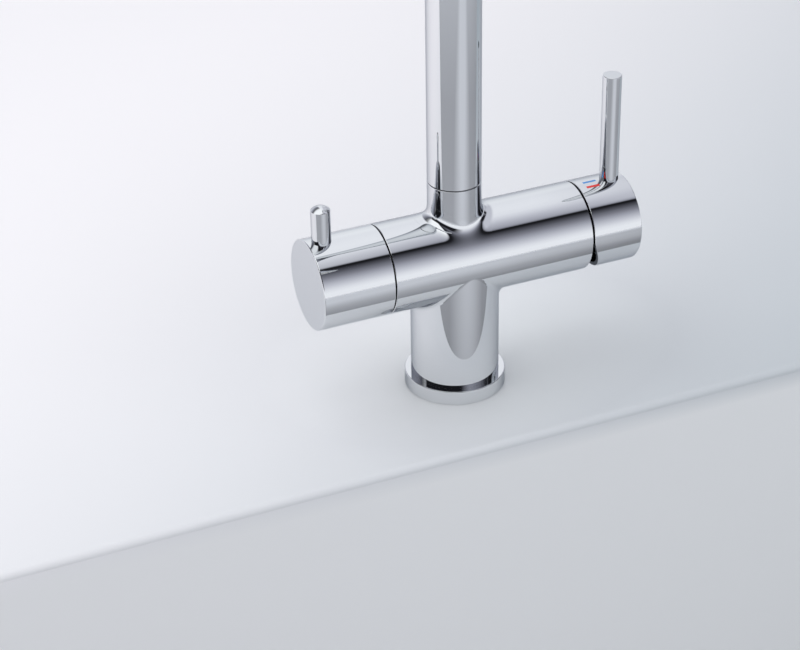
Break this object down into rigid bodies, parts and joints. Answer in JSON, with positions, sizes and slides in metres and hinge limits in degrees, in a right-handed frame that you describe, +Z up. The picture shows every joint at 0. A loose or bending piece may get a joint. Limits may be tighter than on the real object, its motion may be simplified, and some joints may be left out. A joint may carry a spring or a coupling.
{
  "type": "filtered water kitchen tap",
  "caption": "Chromed deck-mounted kitchen tap with a cross tube, a side mixer lever, a filtered water valve knob and a tall swivelling arched spout.",
  "frame": {"origin": "middle of the foot ring's underside, on the mounting surface", "axes": "+X along the cross tube towards the mixer lever, -Y to the front, where the spout points at rest, +Z up"},
  "size_m": [0.1793, 0.2208, 0.478],
  "materials": {
    "chrome": "polished chrome plate",
    "brass": "turned brass",
    "steel": "zinc-plated steel",
    "black_rubber": "matte rubber",
    "ceramic": "lapped ceramic",
    "dark_plastic": "matte",
    "white_plastic": "moulded",
    "cold_enamel": "enamel",
    "hot_enamel": "enamel"
  },
  "bodies": {
    "tap_frame": {"tap_body": "chrome", "base_ring": "chrome", "base_gasket": "black_rubber", "fixing_stud": "steel", "rubber_horseshoe": "black_rubber", "steel_horseshoe": "steel", "fixing_nut": "steel", "cartridge_base": "white_plastic", "cartridge_seals": "black_rubber", "fixed_disc": "ceramic", "cartridge_housing": "white_plastic", "cartridge_nut": "brass", "cartridge_cover": "dark_plastic", "valve_body": "brass", "valve_bush": "black_rubber", "valve_fixed_disc": "ceramic", "slip_ring": "dark_plastic", "stop_screw": "steel"},
    "spout": {"spout_tube": "chrome", "spout_insert": "brass", "spout_seals": "black_rubber", "swivel_bush": "white_plastic", "filter_water_tube": "white_plastic", "aerator_housing": "chrome", "aerator_insert": "white_plastic", "aerator_seal": "black_rubber"},
    "mixer_rotor": {"cartridge_rotor": "white_plastic", "pivot_pin": "steel"},
    "mixer_grip": {"lever_stem": "steel", "mixer_handle": "chrome", "cold_mark": "cold_enamel", "hot_mark": "hot_enamel", "mixer_lever": "chrome", "handle_grub_screw": "steel", "handle_screw_plug": "dark_plastic"},
    "mixer_disc": {"moving_disc": "ceramic", "disc_carrier": "white_plastic"},
    "filter_grip": {"valve_spindle": "brass", "valve_turning_disc": "ceramic", "spindle_seal": "black_rubber", "spindle_clip": "steel", "filter_knob": "chrome", "filter_pin": "chrome", "knob_grub_screw": "steel", "knob_screw_plug": "dark_plastic"}
  },
  "joints": [
    {"name": "spout_swivel", "type": "hinge", "parent": "tap_frame", "child": "spout", "pos_m": [0, 0, 0.12], "axis": [0, 0, 1], "range_deg": [-70, 70]},
    {"name": "mixer_temperature", "type": "hinge", "parent": "tap_frame", "child": "mixer_rotor", "pos_m": [0.055, 0, 0.0775], "axis": [1, 0, 0], "range_deg": [0, 90]},
    {"name": "mixer_flow", "type": "hinge", "parent": "mixer_rotor", "child": "mixer_grip", "pos_m": [0.055, 0, 0.0775], "axis": [0, 1, 0], "range_deg": [0, 17]},
    {"name": "disc_slide", "type": "slide", "parent": "mixer_rotor", "child": "mixer_disc", "axis": [0, 0, 1], "range_m": [0, 0.0036]},
    {"name": "filter_turn", "type": "hinge", "parent": "tap_frame", "child": "filter_grip", "pos_m": [-0.06, 0, 0.0775], "axis": [1, 0, 0], "range_deg": [0, 90]}
  ],
  "couplings": [
    {"joint": "disc_slide", "follows": "mixer_flow", "m_per_rad": 0.012}
  ]
}
